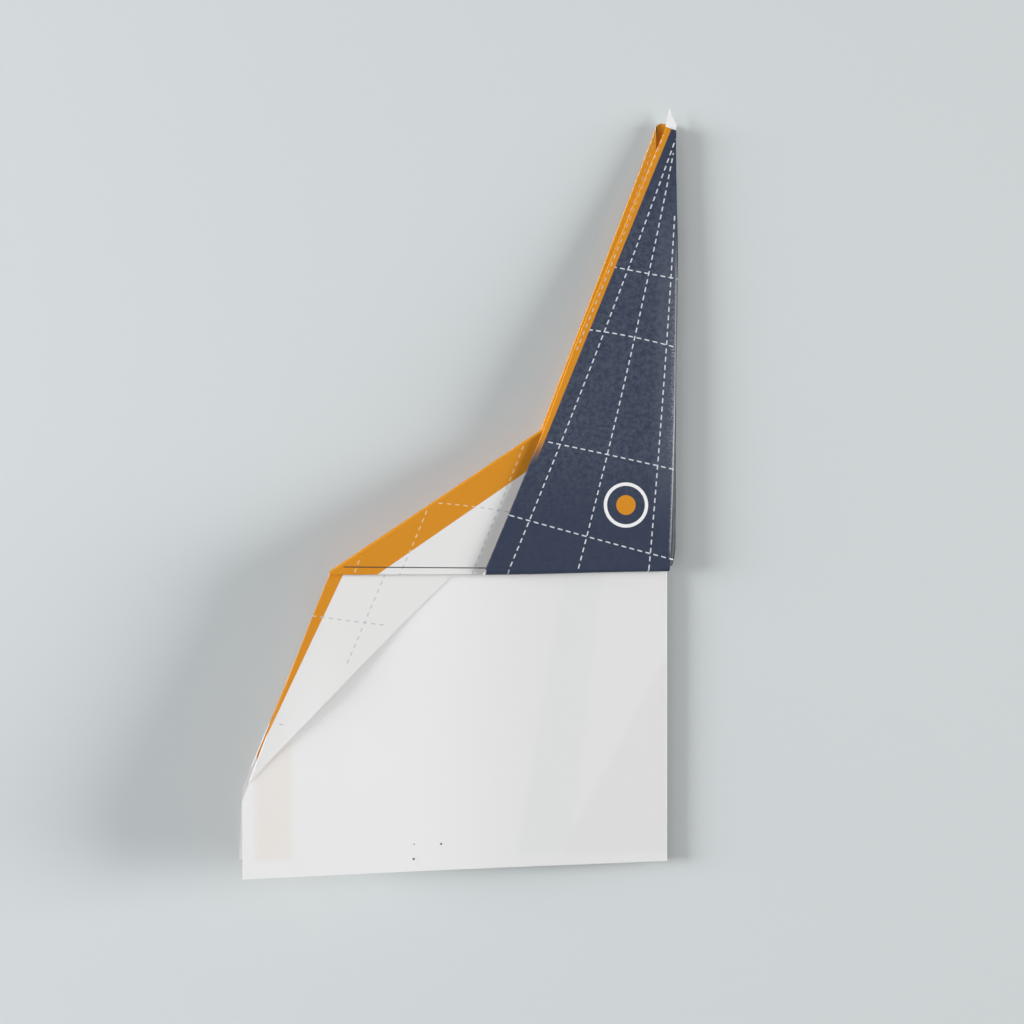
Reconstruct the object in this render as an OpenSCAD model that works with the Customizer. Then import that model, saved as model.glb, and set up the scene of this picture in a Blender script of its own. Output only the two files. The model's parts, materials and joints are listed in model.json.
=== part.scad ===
// Paper dart, half-way through folding, lying on its left-hand keel.
// One letter sheet: dart folds, a pleated nose, corners folded forward and the
// two halves folded back to back along the keel. Every flat panel between two
// creases is a solid of its own, one paper thickness thick.
// X runs across the wing with the keel on the right, +Y points to the nose, +Z is up.
// A fold "side" is "left" for the half that lies on top and "right" for the half below.

/* [Sheet] */
// Width of the unfolded sheet
sheet_w = 215.9; // [170:0.1:260]
// Length of the unfolded sheet
sheet_l = 279.4; // [250:0.1:340]
// Thickness of the paper
paper_t = 0.1; // [0.08:0.01:0.2]
// Air between two layers of paper
layer_gap = 0.07; // [0.04:0.01:0.2]

/* [Folds] */
// Angle of the dart crease from the keel
dart_angle = 22.5; // [19:0.5:25]
// Length of the nose panel, from its base fold to the tip
nose_len = 114.6; // [80:0.1:125]
// Length of the hidden pleat behind the nose panel
pleat_len = 45; // [30:0.5:55]
// Distance from the nose panel's base down to the corner flap's lower edge
corner_drop = 1.3; // [0.5:0.1:6]

/* [Lay] */
// How far the top half has sprung open about the keel
open_angle = 6.5; // [2:0.5:30]
// Angle by which the whole nose panel sits askew to the keel fold
nose_lean = 0.95; // [0:0.05:2]
// Air between the two halves at the keel
keel_gap = 0.2; // [0.1:0.05:1]
// Distance of every panel from the keel's fold axis
keel_clear = 0.3; // [0.1:0.05:1]
// Slot that lets the free flap bend away from its tucked root
flap_slot = 0.4; // [0.2:0.05:1]
// Distance of the free flap from the corner flap's lower edge
flap_clear = 0.9; // [0.6:0.05:2]

/* [Hidden] */

half_w = sheet_w / 2;
// The first crease runs at 45 degrees, the second halves what is left of it
first_angle = 2 * dart_angle;
// Folded lengths, measured from the tail edge
pleat_top = sheet_l - nose_len - pleat_len;
nose_base = pleat_top - pleat_len;
total_len = nose_base + nose_len;
corner_y = nose_base - corner_drop;
// The corner crease starts on the dart's edge and leaves the flap's lower edge level
corner_angle = (90 - dart_angle) / 2;
corner_x = -(sheet_l - corner_y) * tan(dart_angle);
// Ends of the dart's free edges, as distances from the nose along the keel
first_len = half_w / tan(first_angle);
outer_len = half_w / sin(first_angle);
// A short nose leaves part of the first flap in the pleat or the wing, on a level of its own
first_in_pleat = first_len > nose_len ? 1 : 0;
gusset_in_wing = outer_len > nose_len + pleat_len ? 1 : 0;

// Levels of the layers, counted from the inside of a half to its outside
WING = 0;
WING_GUSSET = WING + gusset_in_wing;
FLAP = WING_GUSSET + 1;
PLEAT_FLAP = FLAP + 1;
PLEAT_GUSSET = PLEAT_FLAP + 1;
PLEAT_FIRST = PLEAT_GUSSET + first_in_pleat;
PLEAT_PANEL = PLEAT_FIRST + 1;
CORNER_PLEAT_PANEL = PLEAT_PANEL + 1;
CORNER_PLEAT_FLAP = CORNER_PLEAT_PANEL + 1;
CORNER_LINING = CORNER_PLEAT_FLAP + 1;
CORNER = CORNER_LINING + 1;
NOSE_INNER = CORNER + 1;
NOSE_FIRST = NOSE_INNER + 1;
NOSE_SECOND = NOSE_FIRST + 1;
NOSE_OUTER = NOSE_SECOND + 1;
level_step = paper_t + layer_gap;
stack_h = NOSE_OUTER * level_step + paper_t;
axis_z = stack_h + keel_gap / 2;
// Box centre of the resting dart, which is the origin of the part
tip_len = nose_len - keel_clear / tan(dart_angle);
tip_x = tip_len * sin(nose_lean) - keel_clear * cos(nose_lean);
right_edge = tip_x * cos(open_angle) + (stack_h + keel_gap / 2) * sin(open_angle);
centre_x = (right_edge - half_w) / 2;
tip_y = nose_base + tip_len * cos(nose_lean) + keel_clear * sin(nose_lean);
centre_y = tip_y / 2;
far = 2 * sheet_l;

paper_white = [0.93, 0.93, 0.94];
print_navy = [0.20, 0.25, 0.34];
print_orange = [0.88, 0.55, 0.10];

// ---- Panels of the dart in the sheet's own coordinates: X from the keel, Y from the nose ----

// One half of the sheet
module sheet_2d() {
  translate([-half_w, 0]) square([half_w, sheet_l]);
}

// What lies between two rays from the nose, at angles from the keel
module sector_2d(from, to) {
  polygon([[0, 0], far * [-sin(from), cos(from)], far * [-sin(to), cos(to)]]);
}

// Turned over a crease that runs from the nose at an angle from the keel
module over_crease(angle) {
  mirror([cos(angle), sin(angle)]) children();
}

module clear_of_keel() {
  intersection() {
    children();
    translate([-far - keel_clear, -far / 2]) square([far, 2 * far]);
  }
}

// The body of the sheet, inside the dart crease
module body_2d() {
  clear_of_keel() intersection() {
    sheet_2d();
    sector_2d(0, dart_angle);
  }
}

// The sheet's corner, turned over the first crease
module turned_first_2d() {
  over_crease(first_angle) intersection() {
    sheet_2d();
    sector_2d(first_angle, 90);
  }
}

// The part of that corner inside the dart crease
module first_flap_2d() {
  clear_of_keel() intersection() {
    turned_first_2d();
    sector_2d(0, dart_angle);
  }
}

// The rest of that corner, turned over the dart crease
module second_flap_2d() {
  clear_of_keel() over_crease(dart_angle) intersection() {
    turned_first_2d();
    sector_2d(dart_angle, first_angle);
  }
}

// The outer part of the sheet, turned over the dart crease
module outer_flap_2d() {
  clear_of_keel() over_crease(dart_angle) intersection() {
    sheet_2d();
    sector_2d(dart_angle, first_angle);
  }
}

module between(low, high) {
  translate([-far / 2, low]) square([far, high - low]);
}

// ---- Where each length of the sheet lands once the nose is pleated ----

module nose_lay() {
  translate([0, total_len]) mirror([0, 1]) intersection() {
    children();
    between(0, nose_len);
  }
}

module pleat_lay() {
  translate([0, nose_base - nose_len]) intersection() {
    children();
    between(nose_len, nose_len + pleat_len);
  }
}

module wing_lay() {
  translate([0, sheet_l]) mirror([0, 1]) intersection() {
    children();
    between(nose_len + pleat_len, sheet_l);
  }
}

// Everything on the outer side of the corner crease
module beyond_crease() {
  translate([corner_x, corner_y]) rotate(corner_angle) translate([-far / 2, 0]) square([far, far]);
}

module inside_crease() {
  difference() {
    children();
    beyond_crease();
  }
}

// The corner, turned forward over its crease
module turned_corner() {
  translate([corner_x, corner_y]) rotate(corner_angle) mirror([0, 1]) rotate(-corner_angle)
    translate([-corner_x, -corner_y]) intersection() {
      children();
      beyond_crease();
    }
}

// ---- Placing a panel: a level in a half, and the half in the part ----

module layer(level) {
  translate([0, 0, level * level_step]) linear_extrude(paper_t) children();
}

// The top half, turned about the keel's fold axis
module left_half() {
  translate([-centre_x, -centre_y, axis_z]) rotate([0, open_angle, 0])
    translate([0, 0, keel_gap / 2]) children();
}

// The lower half, mirrored below the fold axis and lying flat
module right_half() {
  translate([-centre_x, -centre_y, stack_h]) mirror([0, 0, 1]) children();
}

module half(side) {
  if (side == "left") left_half() children();
  else right_half() children();
}

// The nose sits askew: its left half leans over the keel and its right half away from it
module nose_turn(side) {
  lean = side == "left" ? -nose_lean : nose_lean;
  translate([0, nose_base, 0]) rotate(lean) translate([0, -nose_base, 0]) children();
}

// ---- Sub-parts ----

module wing_panel(side) {
  color(paper_white) half(side) layer(WING) inside_crease() wing_lay() body_2d();
}

module wing_flap(side) {
  color(paper_white) half(side) layer(FLAP) intersection() {
    wing_lay() outer_flap_2d();
    between(0, corner_y - flap_clear);
  }
}

module flap_root(side) {
  color(paper_white) half(side) {
    layer(FLAP) inside_crease() intersection() {
      wing_lay() outer_flap_2d();
      between(corner_y - flap_clear + flap_slot, sheet_l);
    }
    if (gusset_in_wing > 0) layer(WING_GUSSET) inside_crease() wing_lay() second_flap_2d();
  }
}

module pleat_flap(side) {
  color(paper_white) half(side) layer(PLEAT_FLAP) inside_crease() pleat_lay() outer_flap_2d();
}

module pleat_gusset(side) {
  color(paper_white) half(side) {
    layer(PLEAT_GUSSET) inside_crease() pleat_lay() second_flap_2d();
    if (first_in_pleat > 0) layer(PLEAT_FIRST) inside_crease() pleat_lay() first_flap_2d();
  }
}

module pleat_panel(side) {
  color(paper_white) half(side) layer(PLEAT_PANEL) inside_crease() pleat_lay() body_2d();
}

module corner_pleat_panel(side) {
  color(paper_white) half(side) layer(CORNER_PLEAT_PANEL) turned_corner() pleat_lay() body_2d();
}

module corner_pleat_flap(side) {
  color(paper_white) half(side) layer(CORNER_PLEAT_FLAP) turned_corner() pleat_lay() outer_flap_2d();
}

module corner_lining(side) {
  color(paper_white) half(side) layer(CORNER_LINING) turned_corner() wing_lay() outer_flap_2d();
}

module corner_flap(side) {
  color(print_orange) half(side) layer(CORNER) turned_corner() wing_lay() body_2d();
}

module nose_inner(side) {
  color(print_orange) half(side) nose_turn(side) layer(NOSE_INNER) nose_lay() body_2d();
}

module nose_first_fold(side) {
  color(paper_white) half(side) nose_turn(side) layer(NOSE_FIRST) nose_lay() first_flap_2d();
}

module nose_second_fold(side) {
  color(paper_white) half(side) nose_turn(side) layer(NOSE_SECOND) nose_lay() second_flap_2d();
}

module nose_outer(side) {
  color(print_navy) half(side) nose_turn(side) layer(NOSE_OUTER) nose_lay() outer_flap_2d();
}

wing_panel("left");  // left_wing_panel
wing_flap("left");  // left_wing_flap
flap_root("left");  // left_flap_root
pleat_flap("left");  // left_pleat_flap
pleat_gusset("left");  // left_pleat_gusset
pleat_panel("left");  // left_pleat_panel
corner_pleat_panel("left");  // left_corner_pleat_panel
corner_pleat_flap("left");  // left_corner_pleat_flap
corner_lining("left");  // left_corner_lining
corner_flap("left");  // left_corner_flap
nose_inner("left");  // left_nose_inner
nose_first_fold("left");  // left_nose_first_fold
nose_second_fold("left");  // left_nose_second_fold
nose_outer("left");  // left_nose_outer
wing_panel("right");  // right_wing_panel
wing_flap("right");  // right_wing_flap
flap_root("right");  // right_flap_root
pleat_flap("right");  // right_pleat_flap
pleat_gusset("right");  // right_pleat_gusset
pleat_panel("right");  // right_pleat_panel
corner_pleat_panel("right");  // right_corner_pleat_panel
corner_pleat_flap("right");  // right_corner_pleat_flap
corner_lining("right");  // right_corner_lining
corner_flap("right");  // right_corner_flap
nose_inner("right");  // right_nose_inner
nose_first_fold("right");  // right_nose_first_fold
nose_second_fold("right");  // right_nose_second_fold
nose_outer("right");  // right_nose_outer
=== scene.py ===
import json
import math

import bmesh
import bpy
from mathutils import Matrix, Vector


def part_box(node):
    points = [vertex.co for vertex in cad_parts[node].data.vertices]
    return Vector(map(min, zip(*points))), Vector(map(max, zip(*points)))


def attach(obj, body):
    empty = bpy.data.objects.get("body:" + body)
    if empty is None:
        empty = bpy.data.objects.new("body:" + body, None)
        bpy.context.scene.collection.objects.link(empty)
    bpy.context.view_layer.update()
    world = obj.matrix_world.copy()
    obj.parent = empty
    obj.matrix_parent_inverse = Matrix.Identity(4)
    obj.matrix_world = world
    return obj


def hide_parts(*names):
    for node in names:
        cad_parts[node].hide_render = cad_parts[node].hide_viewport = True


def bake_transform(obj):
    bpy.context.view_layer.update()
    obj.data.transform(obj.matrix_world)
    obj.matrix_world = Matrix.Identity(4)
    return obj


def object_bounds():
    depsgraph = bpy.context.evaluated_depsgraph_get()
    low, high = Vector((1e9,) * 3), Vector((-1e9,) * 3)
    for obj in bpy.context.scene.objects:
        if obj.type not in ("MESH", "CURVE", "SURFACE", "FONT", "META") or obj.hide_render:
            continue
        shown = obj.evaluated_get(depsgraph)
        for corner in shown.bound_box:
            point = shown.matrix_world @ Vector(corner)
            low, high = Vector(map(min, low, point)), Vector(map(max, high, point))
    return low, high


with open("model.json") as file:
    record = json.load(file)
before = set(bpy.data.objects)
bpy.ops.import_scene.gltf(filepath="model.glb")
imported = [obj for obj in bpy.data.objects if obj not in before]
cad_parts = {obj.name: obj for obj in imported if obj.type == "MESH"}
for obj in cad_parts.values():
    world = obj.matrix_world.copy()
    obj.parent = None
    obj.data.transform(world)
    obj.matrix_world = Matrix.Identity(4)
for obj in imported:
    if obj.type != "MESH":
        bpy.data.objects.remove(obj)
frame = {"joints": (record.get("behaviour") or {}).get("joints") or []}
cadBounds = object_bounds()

# Lengths are in millimetres until a vertex is placed, then metres.
# x runs out from the keel (negative), y from the tail edge to the nose, and a level counts
# the layers of paper from the inside of a half to its outside.

metre = 0.001

sheet = {
    "width": 215.9,
    "length": 279.4,
    "thickness": 0.1,
    "step": 0.17,       # one layer of paper and the air over it
    "keelGap": 0.2,     # air between the two halves
    "cell": 2.5,        # size of a mesh face
}

folds = {
    "dart": math.radians(22.5),
    "nose": 114.6,      # length of the nose panel
    "pleat": 45.0,      # length of the pleat behind it
    "cornerDrop": 1.3,  # nose base to the corner flap's lower edge
}

halfWidth = sheet["width"] / 2
dartSlope = math.tan(folds["dart"])
sideV = halfWidth / dartSlope
firstV = halfWidth
outerV = halfWidth * math.sqrt(2)
pleatTop = sheet["length"] - folds["nose"] - folds["pleat"]
noseBase = pleatTop - folds["pleat"]
totalLength = noseBase + folds["nose"]
cornerY = noseBase - folds["cornerDrop"]
cornerX = -(sheet["length"] - cornerY) * dartSlope
cornerAngle = (math.pi / 2 - folds["dart"]) / 2
cornerDir = (math.cos(cornerAngle), math.sin(cornerAngle))

# Where the frame says that the halves are
joints = {j["name"]: j for j in frame["joints"]}
keelX, _, axisZ = (value / metre for value in joints["keel_fold"]["pos_m"])
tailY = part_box("right_wing_panel")[0].y / metre
flapAxis = joints["left_flap_lift"]["axis"]
openAngle = math.atan2(flapAxis[2], -flapAxis[0])

levels = {
    "wing": 0, "flap": 1, "pleatFlap": 2, "pleatGusset": 3, "pleatPanel": 4,
    "cornerPleatPanel": 5, "cornerPleatFlap": 6, "cornerLining": 7, "corner": 8,
    "noseInner": 9, "noseFirst": 10, "noseSecond": 11, "noseOuter": 12,
}


def ramp(value, low, high):
    t = min(1.0, max(0.0, (value - low) / (high - low)))
    return t * t * (3 - 2 * t)


# Outlines are convex polygons, cut and turned over creases

def cutAway(outline, point, outward):
    kept = []
    for i, here in enumerate(outline):
        there = outline[(i + 1) % len(outline)]
        a = (here[0] - point[0]) * outward[0] + (here[1] - point[1]) * outward[1]
        b = (there[0] - point[0]) * outward[0] + (there[1] - point[1]) * outward[1]
        if a <= 0:
            kept.append(here)
        if (a < 0 < b) or (b < 0 < a):
            t = a / (a - b)
            kept.append((here[0] + t * (there[0] - here[0]), here[1] + t * (there[1] - here[1])))
    return kept


def turnOver(point, base, direction):
    along = (point[0] - base[0]) * direction[0] + (point[1] - base[1]) * direction[1]
    foot = (base[0] + along * direction[0], base[1] + along * direction[1])
    return (2 * foot[0] - point[0], 2 * foot[1] - point[1])


bodyOutline = [(0, 0), (0, sheet["length"]), (-halfWidth, sheet["length"]), (-halfWidth, sideV)]
firstOutline = [(0, 0), (0, firstV), (-firstV * dartSlope, firstV)]
secondOutline = [(0, 0), (-firstV * dartSlope, firstV), (0, outerV)]
outerOutline = [(0, 0), (0, outerV), (-halfWidth, sideV)]

cornerBase = (cornerX, cornerY)
cornerOut = (-cornerDir[1], cornerDir[0])
noseEnd = folds["nose"]
pleatEnd = folds["nose"] + folds["pleat"]


def strip(outline, low, high):
    return cutAway(cutAway(outline, (0, low), (0, -1)), (0, high), (0, 1))


def inNose(outline, side):
    start, slant = lay[side]["tipCut"]
    blunt = cutAway(strip(outline, 0, noseEnd), (0.0, start), (slant, -1))
    return [(x, totalLength - v) for x, v in blunt]


def inPleat(outline):
    return [(x, noseBase + v - noseEnd) for x, v in strip(outline, noseEnd, pleatEnd)]


def inWing(outline):
    return [(x, sheet["length"] - v) for x, v in strip(outline, pleatEnd, sheet["length"])]


def insideCorner(outline):
    return cutAway(outline, cornerBase, cornerOut)


def turnedCorner(outline):
    beyond = cutAway(outline, cornerBase, (-cornerOut[0], -cornerOut[1]))
    return [turnOver(p, cornerBase, cornerDir) for p in beyond]


# How the paper lies, which is never quite flat

lay = {
    "left": {
        "wave": 0.28,        # soft ripple of the open panels
        "curl": 1.5,         # how far the tail corner curls away
        "tailSkew": 0.019,   # the tail edge isn't quite square to the keel
        "widen": -0.009,     # the keel fold is a little off the sheet's middle
        "widenFrom": 74.8,
        "noseLean": 0.0175,  # sideways run of the nose for each millimetre forward
        "noseSpread": (0.0, -0.0065),  # how its dart crease strays: at the base, and per millimetre
        "noseFlare": 1.1,    # how far its dart crease stands in at the base
        "foldShift": 1.0,    # share and side of the keel fold's bow
        "tipCut": (3.1, 0.75),  # the blunt tip: where its cut starts, and the cut's slope
        "baseSkew": 0.007,   # the nose base's slope
        "noseLift": 1.0,
        "nosePinch": 1.4,    # how far the nose closes up towards its tip
        "flapLift": 1.0,
        "sag": 0.0,
    },
    "right": {
        "wave": 0.10,
        "curl": 0.0,
        "tailSkew": 0.0,
        "widen": 0.011,
        "widenFrom": 26.0,   # only its tail end shows beyond the upper half
        "noseLean": -0.0180,
        "noseSpread": (2.4, -0.0145),
        "noseFlare": 0.0,
        "foldShift": -1.0,
        "tipCut": (1.8, -0.3),
        "baseSkew": 0.0,
        "noseLift": 0.0,
        "nosePinch": 1.4,
        "flapLift": 0.0,
        "sag": 1.6,          # the lower wing sinks to the table away from the nose
    },
}


noseLay = {
    "bow": (0.65, 0.8, 0.9),   # how far its keel fold is past the wing's: at the base, added, lost
    "bowGrows": (0, 70),       # millimetres forward of the base
    "bowFades": (75, 112),
    "flareFades": (30, 64),
    "mostSpread": 0.7,         # share of the panel's width
    "leastReach": 0.2,
    "liftFrom": (4, 44),
    "pinchPower": 1.3,
}
ripple = {"across": 19, "acrossStart": 0.6, "along": 27, "alongStart": 1.1, "from": (0.05, 0.4)}


def keelBow(forward):
    # The nose's keel fold bows past the keel of the wing
    base, grown, lost = noseLay["bow"]
    return base + grown * ramp(forward, *noseLay["bowGrows"]) - lost * ramp(forward, *noseLay["bowFades"])


def inPlane(side, x, y, level):
    how = lay[side]
    if level > levels["corner"]:
        forward = y - noseBase
        reach = max(noseLay["leastReach"], (folds["nose"] - forward) * dartSlope)
        spread = how["noseSpread"][0] + how["noseSpread"][1] * forward
        spread += how["noseFlare"] * (1 - ramp(forward, *noseLay["flareFades"]))
        spread = min(spread, noseLay["mostSpread"] * reach)
        outward = min(1.0, -x / reach)
        shift = how["foldShift"] * keelBow(forward) * (1 - outward)
        return (x + spread * outward + shift + how["noseLean"] * forward,
                y + how["baseSkew"] * x * (1 - forward / folds["nose"]))
    back = 1 - ramp(y, 0, noseBase)
    wide = how["widen"] * (1 - ramp(y, 0, how["widenFrom"]))
    return x * (1 + wide), y + how["tailSkew"] * x * back


def height(side, x, y, level):
    how = lay[side]
    out = -x / halfWidth
    tail = 1 - ramp(y, 0, pleatTop)
    z = sheet["keelGap"] / 2 + sheet["thickness"] / 2 + level * sheet["step"]
    wave = math.sin(x / ripple["across"] + ripple["acrossStart"])
    wave *= math.sin(y / ripple["along"] + ripple["alongStart"])
    z += how["wave"] * wave * ramp(out, *ripple["from"])
    z += how["curl"] * out ** 3 * tail
    z += how["sag"] * ramp(out, 0.25, 0.95) * (1 - ramp(y, 18, cornerY - 4))
    if level > levels["corner"]:
        z += how["noseLift"] * ramp(-x, *noseLay["liftFrom"])
        z -= how["nosePinch"] * (max(0.0, y - noseBase) / folds["nose"]) ** noseLay["pinchPower"]
    return z


def place(side, x, y, z):
    if side == "right":
        return Vector((keelX + x, tailY + y, axisZ - z)) * metre
    c, s = math.cos(openAngle), math.sin(openAngle)
    return Vector((keelX + x * c + z * s, tailY + y, axisZ - x * s + z * c)) * metre


# Meshes

def flatMesh(outline):
    bm = bmesh.new()
    xs, ys = [p[0] for p in outline], [p[1] for p in outline]
    cell = sheet["cell"]
    across = max(1, math.ceil((max(xs) - min(xs)) / cell))
    along = max(1, math.ceil((max(ys) - min(ys)) / cell))
    rows = [
        [bm.verts.new((min(xs) + i * (max(xs) - min(xs)) / across,
                       min(ys) + j * (max(ys) - min(ys)) / along, 0)) for i in range(across + 1)]
        for j in range(along + 1)
    ]
    for j in range(along):
        for i in range(across):
            bm.faces.new((rows[j][i], rows[j][i + 1], rows[j + 1][i + 1], rows[j + 1][i]))
    turn = sum(xs[i] * ys[(i + 1) % len(xs)] - xs[(i + 1) % len(xs)] * ys[i] for i in range(len(xs)))
    sign = 1 if turn > 0 else -1
    for i, here in enumerate(outline):
        there = outline[(i + 1) % len(outline)]
        outward = Vector(((there[1] - here[1]) * sign, (here[0] - there[0]) * sign, 0))
        if outward.length < 1e-6:
            continue
        bmesh.ops.bisect_plane(
            bm, geom=bm.verts[:] + bm.edges[:] + bm.faces[:], dist=1e-5,
            plane_co=(here[0], here[1], 0), plane_no=outward, clear_outer=True)
    return bm


def flapRise(side, x, y):
    # The free corner of the wing flap stands off the wing, most at its slanting edge
    out = (x - (y - sheet["length"]) * dartSlope) * math.cos(folds["dart"])
    return lay[side]["flapLift"] * ramp(out, *flap["riseOut"]) * (1 - ramp(y, *flap["riseFades"]))


def shaped(side, x, y, level, rise=None):
    z = height(side, x, y, level) + (rise(side, x, y) if rise else 0)
    px, py = inPlane(side, x, y, level)
    return px, py, z


def onLine(point, start, end):
    # How far along the line a point on it is, or None if it isn't on the line
    dx, dy = end[0] - start[0], end[1] - start[1]
    length = math.hypot(dx, dy)
    px, py = point[0] - start[0], point[1] - start[1]
    if abs(px * dy - py * dx) / length > 0.002:
        return None
    along = (px * dx + py * dy) / length
    return along if -0.01 < along < length + 0.01 else None


def addCrease(bm, layer, side, flat, start, end, outward, fromLevel, ownLevel, bulge=1.0):
    # A half-round roll of paper that carries this panel into the one it is folded from
    edge = [(onLine(spot, start, end), vert) for vert, spot in flat.items()]
    edge = sorted(((along, vert) for along, vert in edge if along is not None), key=lambda e: e[0])
    turns = 6 if abs(ownLevel - fromLevel) > 2 else 4
    rings = []
    for along, own in edge:
        x, y = flat[own]
        ax, ay, az = shaped(side, x, y, fromLevel)
        bx, by, bz = shaped(side, x, y, ownLevel)
        ring = []
        for k in range(turns):
            angle = math.pi * k / turns
            mix = (1 - math.cos(angle)) / 2
            reach = abs(bz - az) / 2 * math.sin(angle) * bulge
            spot = (ax + (bx - ax) * mix, ay + (by - ay) * mix)
            vert = bm.verts.new(place(
                side, spot[0] + outward[0] * reach, spot[1] + outward[1] * reach, az + (bz - az) * mix))
            ring.append((vert, printSpot(x, y, ownLevel)))
        ring.append((own, printSpot(x, y, ownLevel)))
        rings.append(ring)
    for here, there in zip(rings, rings[1:]):
        for k in range(turns):
            corners = (here[k], there[k], there[k + 1], here[k + 1])
            face = bm.faces.new([c[0] for c in corners])
            for loop, corner in zip(face.loops, corners):
                loop[layer].uv = uvOf(*corner[1])


def printSpot(x, y, level):
    return inPlane("left", x, y, level)


uvScale = 200.0


def uvOf(x, y):
    return (-x / uvScale, y / uvScale)


def paperPiece(name, side, outline, level, outerSide, innerSide, creases=(), rise=None):
    # outerSide and innerSide are the materials of the two faces of the paper
    bm = flatMesh(outline)
    layer = bm.loops.layers.uv.new("FoldMap")
    flat = {v: (v.co.x, v.co.y) for v in bm.verts}
    panel = bm.faces[:]
    spots = {v: shaped(side, x, y, level, rise) for v, (x, y) in flat.items()}
    for face in panel:
        for loop in face.loops:
            loop[layer].uv = uvOf(*printSpot(*flat[loop.vert], level))
    for vert, (x, y, z) in spots.items():
        vert.co = place(side, x, y, z)
    for crease in creases:
        addCrease(bm, layer, side, flat, *crease)
    bmesh.ops.recalc_face_normals(bm, faces=bm.faces[:])
    outside = place(side, -20, 100, 5) - place(side, -20, 100, 0)
    if sum(face.normal.dot(outside) * face.calc_area() for face in panel) < 0:
        bmesh.ops.reverse_faces(bm, faces=bm.faces[:])
    return thicken(bm, f"{name}_paper", (outerSide, innerSide, paperEdge))


def thicken(bm, name, materials):
    # Gives the sheet its thickness, with hard cut edges and smooth creases
    mesh = bpy.data.meshes.new(name)
    bm.to_mesh(mesh)
    bm.free()
    for material in materials:
        mesh.materials.append(material)
    piece = bpy.data.objects.new(name, mesh)
    bpy.context.scene.collection.objects.link(piece)
    thick = piece.modifiers.new("Paper", "SOLIDIFY")
    thick.thickness = sheet["thickness"] * metre
    thick.offset = 0
    thick.material_offset = 1
    thick.material_offset_rim = 2
    solid = bpy.data.meshes.new_from_object(piece.evaluated_get(bpy.context.evaluated_depsgraph_get()))
    solid.name = name
    piece.modifiers.clear()
    piece.data = solid
    bpy.data.meshes.remove(mesh)
    solid.shade_smooth()
    solid.set_sharp_from_angle(angle=math.radians(50))
    even = piece.modifiers.new("Even shading", "WEIGHTED_NORMAL")
    even.keep_sharp = True
    return piece


# Sums in a shader

class Wire:
    # A value in a node tree, so that patterns can be written as sums
    def __init__(self, tree, socket):
        self.tree = tree
        self.socket = socket

    def node(self, operation, *others):
        made = self.tree.nodes.new("ShaderNodeMath")
        made.operation = operation
        for slot, value in zip(made.inputs, (self, *others)):
            if isinstance(value, Wire):
                self.tree.links.new(value.socket, slot)
            else:
                slot.default_value = value
        return Wire(self.tree, made.outputs[0])

    def __add__(self, other):
        return self.node("ADD", other)

    def __sub__(self, other):
        return self.node("SUBTRACT", other)

    def __mul__(self, other):
        return self.node("MULTIPLY", other)

    __radd__ = __add__
    __rmul__ = __mul__

    def __neg__(self):
        return self * -1.0

    def size(self):
        return self.node("ABSOLUTE")

    def power(self, exponent):
        return self.node("POWER", exponent)

    def most(self, other):
        return self.node("MAXIMUM", other)

    def below(self, limit, soft=0.08):
        # 1 where the value is under the limit, with a soft edge
        made = self.tree.nodes.new("ShaderNodeMapRange")
        made.interpolation_type = "SMOOTHSTEP"
        made.inputs["From Min"].default_value = -soft
        made.inputs["From Max"].default_value = soft
        made.inputs["To Min"].default_value = 1
        made.inputs["To Max"].default_value = 0
        shifted = self - limit
        self.tree.links.new(shifted.socket, made.inputs["Value"])
        return Wire(self.tree, made.outputs["Result"])

    def above(self, limit, soft=0.08):
        return 1.0 + -self.below(limit, soft)


def mixColours(mask, under, over):
    tree = mask.tree
    made = tree.nodes.new("ShaderNodeMix")
    made.data_type = "RGBA"
    tree.links.new(mask.socket, made.inputs["Factor"])
    for slot, value in ((made.inputs[6], under), (made.inputs[7], over)):
        if isinstance(value, Wire):
            tree.links.new(value.socket, slot)
        else:
            slot.default_value = (*value, 1)
    return Wire(tree, made.outputs[2])


def noiseOf(tree, scale, detail=3.0, rough=0.55):
    place3d = tree.nodes.new("ShaderNodeTexCoord")
    made = tree.nodes.new("ShaderNodeTexNoise")
    tree.links.new(place3d.outputs["Object"], made.inputs["Vector"])
    made.inputs["Scale"].default_value = scale
    made.inputs["Detail"].default_value = detail
    made.inputs["Roughness"].default_value = rough
    return Wire(tree, made.outputs["Fac"])


def foldPlace(tree):
    # Millimetres across from the keel (negative) and forward from the tail edge
    found = tree.nodes.new("ShaderNodeUVMap")
    found.uv_map = "FoldMap"
    parts = tree.nodes.new("ShaderNodeSeparateXYZ")
    tree.links.new(found.outputs["UV"], parts.inputs["Vector"])
    return Wire(tree, parts.outputs["X"]) * -uvScale, Wire(tree, parts.outputs["Y"]) * uvScale


def dashes(across, along, start, stop, curve, style):
    # A dashed line across = c0 + c1 along + c2 along^2, between start and stop
    c0, c1, c2 = curve
    middle = (start + stop) / 2
    slope = c1 + 2 * c2 * middle
    stretch = math.sqrt(1 + slope * slope)
    off = (across - (along * c1 + along * along * c2 + c0)).size() * (1 / stretch)
    run = (along * (stretch / style["period"])).node("FRACT")
    line = off.below(style["width"] / 2, style["soft"])
    on = (run - 0.5).size().below(style["share"] / 2, 0.04)
    return line * on * along.above(start) * along.below(stop)


def together(masks):
    joined = masks[0]
    for mask in masks[1:]:
        joined = joined.most(mask)
    return joined


# What is printed on the sheet

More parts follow.
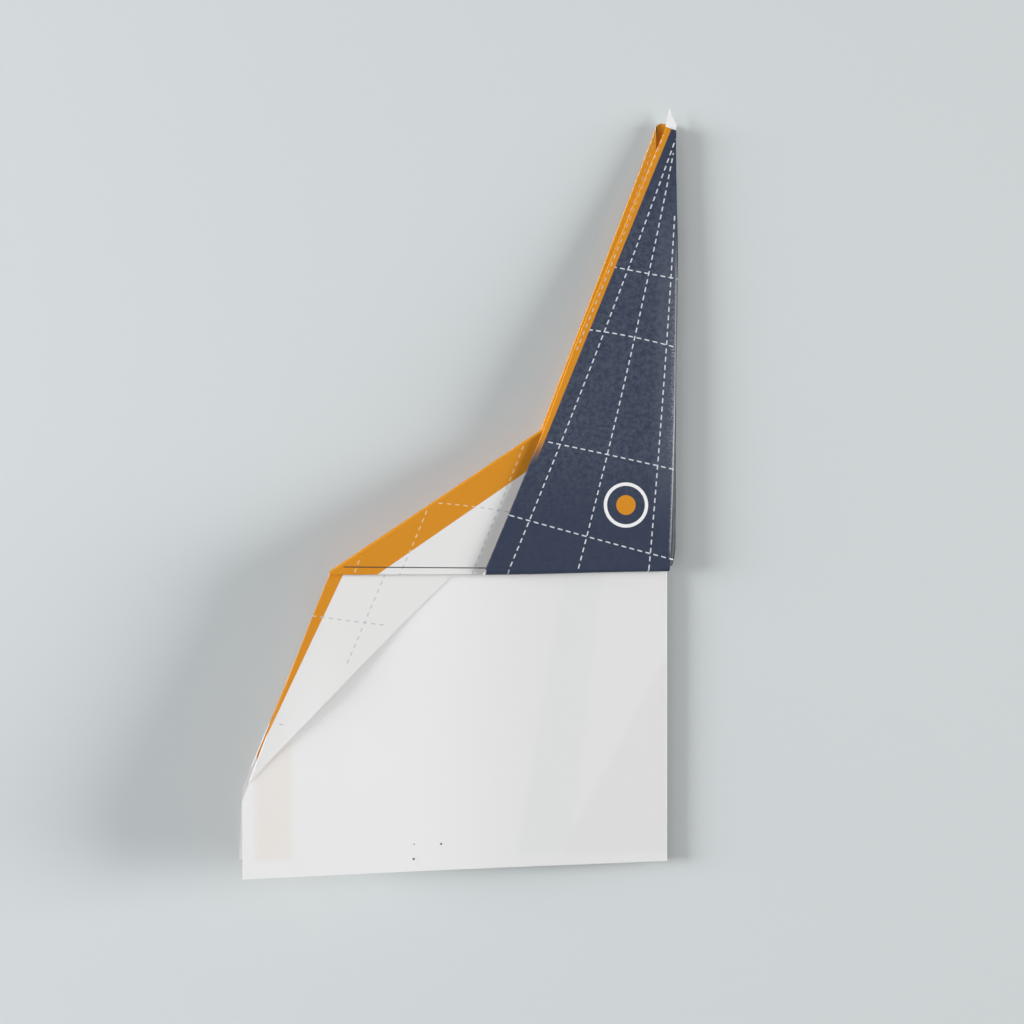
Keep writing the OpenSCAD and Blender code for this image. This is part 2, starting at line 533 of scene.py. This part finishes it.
inks = {
    "paper": (0.725, 0.712, 0.706),
    "navy": (0.028, 0.038, 0.070),
    "navyWornAndSheen": (0.070, 0.084, 0.120),
    "navyShade": (0.007, 0.010, 0.022),
    "orange": (0.615, 0.238, 0.010),
    "orangeLight": (0.78, 0.33, 0.015),
    "dashWhite": (0.62, 0.66, 0.70),
    "dashGrey": (0.46, 0.48, 0.50),
    "guide": (0.035, 0.035, 0.04),
}

whiteDash = {"period": 2.12, "share": 0.58, "width": 0.30, "soft": 0.09}
trimDash = {"period": 2.12, "share": 0.5, "width": 0.24, "soft": 0.10}
greyDash = {"period": 2.12, "share": 0.5, "width": 0.27, "soft": 0.08}

nose = {
    "along": [  # dashed lines that run to the tip: x as a curve of y
        ((74.5, 184.0), (-73.80, 0.4653, -0.00028)),
        ((74.5, 180.5), (-44.91, 0.3182, -0.00033)),
        ((74.5, 165.0), (-12.53, 0.1166, -0.00017)),
    ],
    "across": [  # dashed lines that cross it: y as a curve of x
        ((-14.5, 3.0), (148.83, -0.168, 0.0002)),
        ((-21.5, 3.0), (131.51, -0.255, -0.0037)),
        ((-31.0, 3.0), (100.24, -0.222, -0.0004)),
        ((-41.0, 3.0), (77.32, -0.261, 0.0002)),
    ],
    "ring": (-10.7, 90.8), "ringRadius": 5.3, "ringLine": 0.85, "disc": 2.5,
    "edge": (-75.64, 0.412), "edgeStart": 105.0,
    "trim": (-76.85, 0.412, 0.0), "trimSpan": (130.0, 185.0),
    "keelRun": (0.65, 0.040, -0.00021),   # the keel fold: x as a curve of the way forward
    "blotch": 900, "fleck": 2600,         # scales of the worn ink
    "sheen": (0.13, 0.145, 0.18), "bareFibre": (0.55, 0.56, 0.58), "ringWhite": (0.80, 0.80, 0.80),
}


def nosePrint(tree, x, y):
    lines = [dashes(x, y, *span, curve, whiteDash) for span, curve in nose["along"]]
    lines += [dashes(y, x, *span, curve, whiteDash) for span, curve in nose["across"]]
    away = ((x - nose["ring"][0]).power(2.0) + (y - nose["ring"][1]).power(2.0)).power(0.5)
    clear = away.above(nose["ringRadius"] + 0.5)
    ring = (away - nose["ringRadius"]).size().below(nose["ringLine"] / 2, 0.07)
    disc = away.below(nose["disc"], 0.07)
    edge = (x - (y * nose["edge"][1] + nose["edge"][0])).below(0.0, 0.12)
    edge = edge * y.above(nose["edgeStart"], 4)
    trim = dashes(x, y, *nose["trimSpan"], nose["trim"], trimDash) * (y.below(160, 10) * 0.4 + 0.25)
    blotch = noiseOf(tree, nose["blotch"], 4, 0.7)
    # worn mottling of the ink, with painted sheen brightening it across the middle of the nose
    middle = y.above(96, 12) * y.below(172, 12) * 0.8 + 0.2
    navy = mixColours(blotch.above(0.50, 0.16) * middle * 0.75, inks["navy"], inks["navyWornAndSheen"])
    # ink rubbed off beside the keel, and a fine worn line on the fold itself
    flecks = noiseOf(tree, nose["fleck"], 5, 0.75)
    ahead = y - noseBase
    run = nose["keelRun"]
    past = x - (ahead * run[1] + ahead * ahead * run[2] + run[0])
    onSide = past.below(0.1, 0.08)
    scuffed = (flecks + past * 0.075).above(0.5, 0.07) * y.above(104, 9) * y.below(143, 12) * 0.5
    worn = (flecks * 0.9 + past * 0.55).above(0.30, 0.16) * y.above(79, 3) * y.below(152, 8) * 0.5
    rubbed = scuffed.most(worn) * onSide
    # painted sheen: a paler band beside the keel, strongest in the middle of the nose
    sheen = past.above(-4.8, 1.6) * y.above(92, 12) * y.below(160, 16) * onSide * 0.24
    navy = mixColours(sheen, navy, nose["sheen"])
    # painted shade: past the keel line the fold's far side turns almost black
    navy = mixColours(past.above(0.15, 0.1), navy, inks["navyShade"])
    colour = mixColours(together(lines) * clear, navy, inks["dashWhite"])
    colour = mixColours(ring, colour, nose["ringWhite"])
    colour = mixColours(disc, colour, inks["orange"])
    colour = mixColours(rubbed, colour, nose["bareFibre"])
    colour = mixColours(edge, colour, inks["orange"])
    return mixColours(trim, colour, inks["dashWhite"])


corner = {
    "fold": (-81.9, 75.3), "band": 6.3, "bandTaper": 0.014,
    "guide": (74.46, -0.0105), "guideSpan": (-82.0, -46.0), "guideLine": 0.26,
    "along": [
        ((73.0, 108.0), (-81.82, 0.4575, -0.0003)),
        ((73.0, 92.0), (-112.4, 0.7516, -0.002)),
        ((73.0, 78.0), (-106.9, 0.3744, 0.0)),
    ],
    "across": [((-58.5, -36.0), (77.5, -0.394, -0.0027))],
    "dashOnOrange": (0.72, 0.50, 0.30),
}


def cornerPrint(tree, x, y):
    dx, dy = x - corner["fold"][0], y - corner["fold"][1]
    inward = dx * cornerDir[1] + dy * -cornerDir[0]
    forward = dx * cornerDir[0] + dy * cornerDir[1]
    orange = (inward + forward * corner["bandTaper"]).below(corner["band"], 0.06)
    lines = [dashes(x, y, *span, curve, greyDash) for span, curve in corner["along"]]
    lines += [dashes(y, x, *span, curve, greyDash) for span, curve in corner["across"]]
    guide = (y - (x * corner["guide"][1] + corner["guide"][0])).size()
    guide = guide.below(corner["guideLine"] / 2, 0.07) * x.above(corner["guideSpan"][0])
    guide = guide * x.below(corner["guideSpan"][1])
    colour = mixColours(orange, inks["paper"], inks["orange"])
    pale = mixColours(orange, inks["dashGrey"], corner["dashOnOrange"])
    colour = mixColours(together(lines), colour, pale)
    return mixColours(guide, colour, inks["guide"])


flap = {
    "freeEdge": (126.3, 0.969),   # its slanting edge: y at the keel, and the slope
    "riseOut": (0.5, 13), "riseFades": (40, 66), "bend": (1, 15), "bendIn": 10,
    "edge": (-85.1, 72.8, 0.409), "stripe": 2.75, "stripeStart": 29.5, "stripeFull": 72.3,
    "along": [((50.5, 73.5), (-103.7, 0.452, -0.0002))],
    "across": [((-90.5, -71.5), (56.2, -0.0054, 0.0008)), ((-99.0, -96.0), (21.1, -0.155, 0.0))],
}


def flapPrint(tree, x, y):
    edgeX, edgeY, slope = flap["edge"]
    fromEdge = x - ((y - edgeY) * slope + edgeX)
    grow = flap["stripe"] / (flap["stripeFull"] - flap["stripeStart"])
    orange = (fromEdge - (y - flap["stripeStart"]) * grow).below(0.0, 0.06)
    lines = [dashes(x, y, *span, curve, greyDash) for span, curve in flap["along"]]
    lines += [dashes(y, x, *span, curve, greyDash) for span, curve in flap["across"]]
    colour = mixColours(orange, inks["paper"], inks["orange"])
    return mixColours(together(lines), colour, inks["dashGrey"])


body = {
    "strip": (-103.9, -95.0), "margin": 2.4,
    "bandLeft": (-38.6, 0.170), "bandRight": (-25.0, 0.117),
    "wedge": (52.0, 1.83), "wedgeFrom": -26.0, "wedgeInk": (0.62, 0.63, 0.65),
    "edgeBand": 4.6, "edgeBandBack": 60, "tipInk": 16,   # orange beside the dart crease and at the tip
    "along": [((0.0, 186.0), (-60.0, 0.3, 0.0)), ((0.0, 186.0), (-88.0, 0.45, 0.0))],
    "across": [((-107.0, -1.0), (30.0, -0.06, 0.0)), ((-107.0, -1.0), (78.0, -0.16, 0.0))],
    "trim": ((120.0, 186.0), (-78.2, 0.4297, 0.0)),
}


def bodyMasks(x, y, soft):
    edge = y.above(body["margin"], soft)
    orange = x.above(body["strip"][0], soft) * x.below(body["strip"][1], soft)
    band = (x - (y * body["bandLeft"][1] + body["bandLeft"][0])).above(0.0, soft)
    band = band * (x - (y * body["bandRight"][1] + body["bandRight"][0])).below(0.0, soft)
    wedge = (y - (x * body["wedge"][1] + body["wedge"][0])).below(0.0, soft * 2)
    return orange * edge, band * edge, wedge * x.above(body["wedgeFrom"], soft) * edge


def bodyPrint(tree, x, y):
    orange, band, wedge = bodyMasks(x, y, 0.08)
    noseEdge = (x + (totalLength + -y) * dartSlope).below(body["edgeBand"])
    noseEdge = noseEdge * y.above(pleatTop - body["edgeBandBack"])
    lines = [dashes(x, y, *span, curve, greyDash) for span, curve in body["along"]]
    lines += [dashes(y, x, *span, curve, greyDash) for span, curve in body["across"]]
    trimSpan, trimCurve = body["trim"]
    trim = dashes(x, y, *trimSpan, trimCurve, trimDash)
    colour = mixColours(together(lines), inks["paper"], inks["dashGrey"])
    colour = mixColours(band, colour, inks["navy"])
    colour = mixColours(wedge, colour, body["wedgeInk"])
    colour = mixColours(orange, colour, inks["orange"])
    atTip = y.above(totalLength - body["tipInk"])
    colour = mixColours(noseEdge.most(atTip), colour, inks["orangeLight"])
    return mixColours(trim * 0.8, colour, inks["dashWhite"])


bare = {"light": (0.782, 0.772, 0.772), "dark": (0.757, 0.75, 0.752), "clouds": 55}


def plainPaper(tree, x, y):
    return mixColours(noiseOf(tree, bare["clouds"], 2) * 0.5, bare["light"], bare["dark"])


speckles = [(-64.4, 1.9, 0.28), (-57.5, 5.5, 0.26), (-64.3, 5.6, 0.16)]  # x, y and radius
speckleInk = (0.05, 0.05, 0.05)
wingTones = {
    "orange": (0.755, 0.715, 0.685), "band": (0.672, 0.672, 0.675), "wedge": (0.665, 0.66, 0.655),
    "keelShade": (0.698, 0.693, 0.69), "keelFrom": -48.0, "keelSoft": 22.0,
}


def showThrough(tree, x, y):
    # The bare side of the wing: the print behind it showing faintly, painted shade darkening it towards
    # the keel, and a darker wedge by the keel at the tail edge
    orange, band, wedge = bodyMasks(x, y, 1.1)
    soft = noiseOf(tree, 260, 3)
    colour = plainPaper(tree, x, y)
    # painted shade: the paper greys towards the keel
    colour = mixColours(x.above(wingTones["keelFrom"], wingTones["keelSoft"]), colour,
                        wingTones["keelShade"])
    colour = mixColours(orange * (soft * 0.3 + 0.75), colour, wingTones["orange"])
    colour = mixColours(band * (soft * 0.4 + 0.5), colour, wingTones["band"])
    # a darker wedge by the keel at the tail edge
    colour = mixColours(wedge * (soft * 0.4 + 0.5), colour, wingTones["wedge"])
    for px, py, radius in speckles:
        away = ((x - px).power(2.0) + (y - py).power(2.0)).power(0.5)
        colour = mixColours(away.below(radius, 0.1), colour, speckleInk)
    return colour


fibres = {"fine": 3200, "coarse": 420, "bumpHeight": 0.00006, "specular": 0.28, "glossPatch": 700}


def paperMaterial(name, pattern, rough, bump):
    made = bpy.data.materials.new(name)
    made.use_nodes = True
    tree = made.node_tree
    shader = tree.nodes["Principled BSDF"]
    x, y = foldPlace(tree)
    tree.links.new(pattern(tree, x, y).socket, shader.inputs["Base Color"])
    grain = noiseOf(tree, fibres["fine"], 3, 0.6) * 0.7 + noiseOf(tree, fibres["coarse"], 2) * 0.6
    lumps = tree.nodes.new("ShaderNodeBump")
    lumps.inputs["Strength"].default_value = bump
    lumps.inputs["Distance"].default_value = fibres["bumpHeight"]
    tree.links.new(grain.socket, lumps.inputs["Height"])
    tree.links.new(lumps.outputs["Normal"], shader.inputs["Normal"])
    gloss = noiseOf(tree, fibres["glossPatch"], 2) * 0.12 + (rough - 0.06)
    tree.links.new(gloss.socket, shader.inputs["Roughness"])
    shader.inputs["Specular IOR Level"].default_value = fibres["specular"]
    return made


print("materials")
noseInk = paperMaterial("Nose print", nosePrint, 0.52, 0.35)
cornerInk = paperMaterial("Corner print", cornerPrint, 0.6, 0.35)
flapInk = paperMaterial("Flap print", flapPrint, 0.6, 0.35)
bodyInk = paperMaterial("Body print", bodyPrint, 0.6, 0.35)
barePaper = paperMaterial("Bare paper", plainPaper, 0.72, 0.5)
wingPaper = paperMaterial("Bare wing paper", showThrough, 0.72, 0.5)
paperEdge = paperMaterial("Cut edge", plainPaper, 0.8, 0.3)


# The panels of one half

def creaseLine(low, high):
    # The dart crease as a line in the lay of the wing, from y = low to y = high
    return [(-(sheet["length"] - y) * dartSlope, y) for y in (low, high)]


def noseLine(low, high):
    return [(-(totalLength - y) * dartSlope, y) for y in (low, high)]


dartOut = (-math.cos(folds["dart"]), math.sin(folds["dart"]))
cornerMeet = cornerX + (pleatTop - cornerY) / math.tan(cornerAngle)
cornerTop = (cornerMeet, pleatTop)
cornerCreaseEnd = -55.0    # x where the pleat's turned layers stop
cornerStop = (cornerCreaseEnd, cornerY + (cornerCreaseEnd - cornerX) * math.tan(cornerAngle))
noseLeft = -(totalLength - noseBase) * dartSlope
baseOut = (0.0, -1.0)
topOut = (0.0, 1.0)


def buildHalf(side):
    lv = levels
    rows = [
        # part, outline, level, outer face, inner face, creases, CAD nodes, slot
        ("wing", insideCorner(inWing(bodyOutline)), lv["wing"], wingPaper, bodyInk, [],
         ["wing_panel"], "plain_side"),
        ("pleat_flap", insideCorner(inPleat(outerOutline)), lv["pleatFlap"], barePaper, flapInk,
         [(cornerTop, (-7.5, pleatTop), topOut, lv["flap"], lv["pleatFlap"])],
         ["pleat_flap"], "print_white"),
        ("pleat_gusset", insideCorner(inPleat(secondOutline)), lv["pleatGusset"], bodyInk, barePaper,
         [], ["pleat_gusset"], "plain_side"),
        ("pleat_panel", insideCorner(inPleat(bodyOutline)), lv["pleatPanel"], bodyInk, barePaper,
         [(cornerTop, (0.0, pleatTop), topOut, lv["wing"], lv["pleatPanel"])],
         ["pleat_panel"], "print_white"),
        ("corner_pleat_panel", turnedCorner(inPleat(bodyOutline)), lv["cornerPleatPanel"],
         barePaper, bodyInk,
         [(cornerTop, cornerStop, cornerOut, lv["pleatPanel"], lv["cornerPleatPanel"])],
         ["corner_pleat_panel"], "print_white"),
        ("corner_pleat_flap", turnedCorner(inPleat(outerOutline)), lv["cornerPleatFlap"],
         flapInk, barePaper,
         [(cornerTop, cornerStop, cornerOut, lv["pleatFlap"], lv["cornerPleatFlap"])],
         ["corner_pleat_flap"], "print_white"),
        ("corner_lining", turnedCorner(inWing(outerOutline)), lv["cornerLining"], barePaper, flapInk,
         [(cornerTop, cornerBase, cornerOut, lv["flap"], lv["cornerLining"])],
         ["corner_lining"], "print_white"),
        ("corner", turnedCorner(inWing(bodyOutline)), lv["corner"], cornerInk, barePaper,
         [(cornerTop, cornerBase, cornerOut, lv["wing"], lv["corner"]),
          (cornerBase, (cornerX + 50.0, cornerY), baseOut, lv["cornerLining"], lv["corner"])],
         ["corner_flap"], "print_orange"),
        ("nose_inner", inNose(bodyOutline, side), lv["noseInner"], barePaper, bodyInk,
         [((noseLeft, noseBase), (0.0, noseBase), baseOut, lv["pleatPanel"], lv["noseInner"])],
         ["nose_inner"], "print_orange"),
        ("nose_first_fold", inNose(firstOutline, side), lv["noseFirst"], bodyInk, barePaper, [],
         ["nose_first_fold"], "plain_side"),
        ("nose_second_fold", inNose(secondOutline, side), lv["noseSecond"], barePaper, bodyInk,
         [(*noseLine(noseBase + 8, totalLength - 1), dartOut, lv["noseFirst"], lv["noseSecond"])],
         ["nose_second_fold"], "plain_side"),
        ("nose", inNose(outerOutline, side), lv["noseOuter"], noseInk, barePaper,
         [(*noseLine(noseBase, totalLength - 0.5), dartOut, lv["noseInner"], lv["noseOuter"]),
          ((noseLeft, noseBase), (0.0, noseBase), baseOut, lv["pleatFlap"], lv["noseOuter"])],
         ["nose_outer"], "print_navy"),
    ]
    for part, outline, level, outer, inner, creases, nodes, slotName in rows:
        piece = paperPiece(f"{side}_{part}", side, outline, level, outer, inner, creases)
        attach(piece, f"{side}_half")
        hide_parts(*[f"{side}_{node}" for node in nodes])
    buildFlap(side)


wisp = {
    # a white shred of the inner layers beyond the blunt tip
    "outline": [(-1.3, 1.8), (-0.35, -2.7), (0.1, 1.6), (-0.3, 8.0)],
    "level": 8.3,
}


def buildWisp():
    outline = [(x, totalLength - v) for x, v in wisp["outline"]]
    piece = paperPiece("nose_wisp", "left", outline, wisp["level"], barePaper, barePaper)
    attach(piece, "left_half")


def buildFlap(side):
    # One panel from its tucked root to its free corner, shaped so that its free corner lifts off the wing
    outline = cutAway(insideCorner(inWing(outerOutline)), (0.0, flap["freeEdge"][0]),
                      (flap["freeEdge"][1], -1))
    tail, front = creaseLine(sheet["length"] - sideV, cornerY)
    crease = (tail, front, dartOut, levels["wing"], levels["flap"])
    piece = paperPiece(f"{side}_flap", side, outline, levels["flap"], flapInk, barePaper,
                       [crease], rise=flapRise)
    start, end = [place(side, cornerX + flap["bendIn"], cornerY - back,
                        height(side, cornerX, cornerY - back, levels["flap"]))
                  for back in flap["bend"]]
    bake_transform(piece)
    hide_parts(f"{side}_wing_flap", f"{side}_flap_root")


for side in ("right", "left"):
    buildHalf(side)
    print("half built:", side)


buildWisp()


# The keel crease carries the sheet from half to half

keel = {
    "turns": 10,
    "tight": 0.22,             # roll of the wing's and the pleat's fold
    "noseFullness": 1.95,
    "fadesForward": (0, 80),
    "opensAtBase": (-4, 5),
    "bowOut": 0.3,             # bowed out and under, by a share of the gap between the halves
    "bowUnder": 0.4,
    "tipLength": 12,           # how much of its front end is cut on a slant
    "tipCorner": 0.6,
    "noseEnds": (0.5, 0.2),    # from past the nose base to past the tip
    "noseSlant": 3.3,
}


def keelCrease(name, low, high, level, outer, inner, reachAt, slant=0.0):
    bm = bmesh.new()
    layer = bm.loops.layers.uv.new("FoldMap")
    steps = max(2, math.ceil((high - low) / sheet["cell"]))
    turns = keel["turns"]
    rings = []
    for i in range(steps + 1):
        y = low + (high - low) * i / steps
        x, py, z = shaped("right", 0.0, y, level)
        lower = place("right", x, py, z)
        x, py, z = shaped("left", 0.0, y, level)
        upper = place("left", x, py, z)
        reach = reachAt(y)
        apart = max(0.0, upper.x - lower.x) / 2
        ring = []
        for k in range(turns + 1):
            angle = math.pi * k / turns
            mix = (1 - math.cos(angle)) / 2
            swell = math.sin(angle)
            spot = lower.lerp(upper, mix)
            spot.x += (reach * metre + keel["bowOut"] * apart) * swell
            spot.z -= keel["bowUnder"] * apart * swell
            cut = slant * mix + keel["tipCorner"] * slant * (1 - mix) ** 6
            spot.y -= cut * ramp(y, high - keel["tipLength"], high) * metre
            ring.append((bm.verts.new(spot), reach * swell))
        rings.append((y, ring))
    for (y0, here), (y1, there) in zip(rings, rings[1:]):
        for k in range(turns):
            corners = ((here[k], y0), (here[k + 1], y0), (there[k + 1], y1), (there[k], y1))
            face = bm.faces.new([vert for (vert, _), _ in corners])
            for loop, ((_, out), y) in zip(face.loops, corners):
                loop[layer].uv = uvOf(printSpot(0.0, y, level)[0] + out, y)
    bmesh.ops.recalc_face_normals(bm, faces=bm.faces[:])
    if sum(face.normal.x for face in bm.faces) < 0:
        bmesh.ops.reverse_faces(bm, faces=bm.faces[:])
    piece = thicken(bm, name, (outer, inner, paperEdge))
    spread = sheet["step"] * level + sheet["keelGap"]
    keelX * metre
    (axisZ - spread) * metre
    keelX * metre
    (axisZ + spread) * metre
    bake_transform(piece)


def tightReach(y):
    return keel["tight"]


def noseReach(y):
    # The keel fold is fuller at the nose's base than farther forward
    full = 1 - ramp(y - noseBase, *keel["fadesForward"])
    return keel["noseFullness"] * full * ramp(y - noseBase, *keel["opensAtBase"])


keelCrease("keel_crease_wing", 0.0, pleatTop, levels["wing"], wingPaper, bodyInk, tightReach)
keelCrease("keel_crease_pleat", noseBase + 1, pleatTop - 1, levels["pleatPanel"], bodyInk, barePaper,
           tightReach)
low, high = noseBase + keel["noseEnds"][0], totalLength + keel["noseEnds"][1]
keelCrease("keel_crease_nose", low, high, levels["noseInner"], noseInk, bodyInk, noseReach,
           slant=keel["noseSlant"])
print("keel creased")


# Floor, light and camera

room = {
    "floor": 2.7, "cove": 1.0, "wall": 1.6,   # a round cove: flat floor, curve and wall
    "colour": (0.580, 0.606, 0.612),
    "world": 0.165, "sky": (0.97, 0.985, 1.0, 1),
    "sides": 96, "below": 0.00003,            # clearance under the paper
    "roughness": 0.8, "specular": 0.2,
    "left": {"power": 15.9, "colour": (0.955, 0.985, 1.0), "place": (-2.3, 0.10, 0.64),
             "size": 1.05, "spread": 70},
    "right": {"power": 13.1, "colour": (1.0, 0.99, 0.975), "place": (2.3, 0.0, 0.64),
              "size": 1.05, "spread": 70},
    "upper": {"power": 3.0, "colour": (0.95, 0.985, 1.0), "place": (-0.75, 0.0, 0.75),
              "size": 0.9, "spread": 180},
}

viewer = {"place": (0.0138, -0.0053, 0.480), "lens": 65.8}


def addFloor():
    # One turned surface, so that the floor has no edge from any side
    z = cadBounds[0].z - room["below"]
    profile = [(0.0, 0.0), (0.5, 0.0), (room["floor"], 0.0)]
    for k in range(1, 13):
        angle = math.pi / 2 * k / 12
        profile.append((room["floor"] + room["cove"] * math.sin(angle),
                        room["cove"] * (1 - math.cos(angle))))
    profile.append((room["floor"] + room["cove"], room["cove"] + room["wall"]))
    bm = bmesh.new()
    sides = room["sides"]
    rings = []
    for reach, rise in profile:
        rings.append([
            bm.verts.new((reach * math.cos(math.tau * k / sides), reach * math.sin(math.tau * k / sides),
                          z + rise)) for k in range(sides)] if reach else [bm.verts.new((0, 0, z))])
    for inner, outer in zip(rings, rings[1:]):
        for k in range(sides):
            nextK = (k + 1) % sides
            if len(inner) == 1:
                bm.faces.new((inner[0], outer[k], outer[nextK]))
            else:
                bm.faces.new((inner[k], outer[k], outer[nextK], inner[nextK]))
    mesh = bpy.data.meshes.new("floor")
    bm.to_mesh(mesh)
    bm.free()
    mesh.shade_smooth()
    floor = bpy.data.objects.new("floor", mesh)
    bpy.context.scene.collection.objects.link(floor)
    made = bpy.data.materials.new("Floor")
    made.use_nodes = True
    tree = made.node_tree
    shader = tree.nodes["Principled BSDF"]
    grain = noiseOf(tree, 900, 3)
    colour = mixColours(grain * 0.35, room["colour"], tuple(c * 0.96 for c in room["colour"]))
    tree.links.new(colour.socket, shader.inputs["Base Color"])
    shader.inputs["Roughness"].default_value = room["roughness"]
    shader.inputs["Specular IOR Level"].default_value = room["specular"]
    mesh.materials.append(made)


def addLight(name, settings):
    data = bpy.data.lights.new(name, "AREA")
    data.shape = "DISK"
    data.size = settings["size"]
    data.energy = settings["power"]
    data.color = settings["colour"]
    data.spread = math.radians(settings["spread"])
    lamp = bpy.data.objects.new(name, data)
    lamp.location = settings["place"]
    lamp.visible_camera = False
    lamp.rotation_euler = (-Vector(settings["place"])).to_track_quat("-Z", "Y").to_euler()
    bpy.context.scene.collection.objects.link(lamp)


def addCamera():
    data = bpy.data.cameras.new("camera")
    data.lens = viewer["lens"]
    camera = bpy.data.objects.new("camera", data)
    camera.location = viewer["place"]
    bpy.context.scene.collection.objects.link(camera)
    bpy.context.scene.camera = camera


addFloor()
addLight("left_light", room["left"])
addLight("right_light", room["right"])
addLight("upper_light", room["upper"])
addCamera()
world = bpy.data.worlds.new("world")
bpy.context.scene.world = world
world.use_nodes = True
sky = world.node_tree.nodes["Background"]
sky.inputs["Color"].default_value = room["sky"]
sky.inputs["Strength"].default_value = room["world"]
bpy.context.scene.view_settings.view_transform = "Standard"
print("floor, lights and camera set")
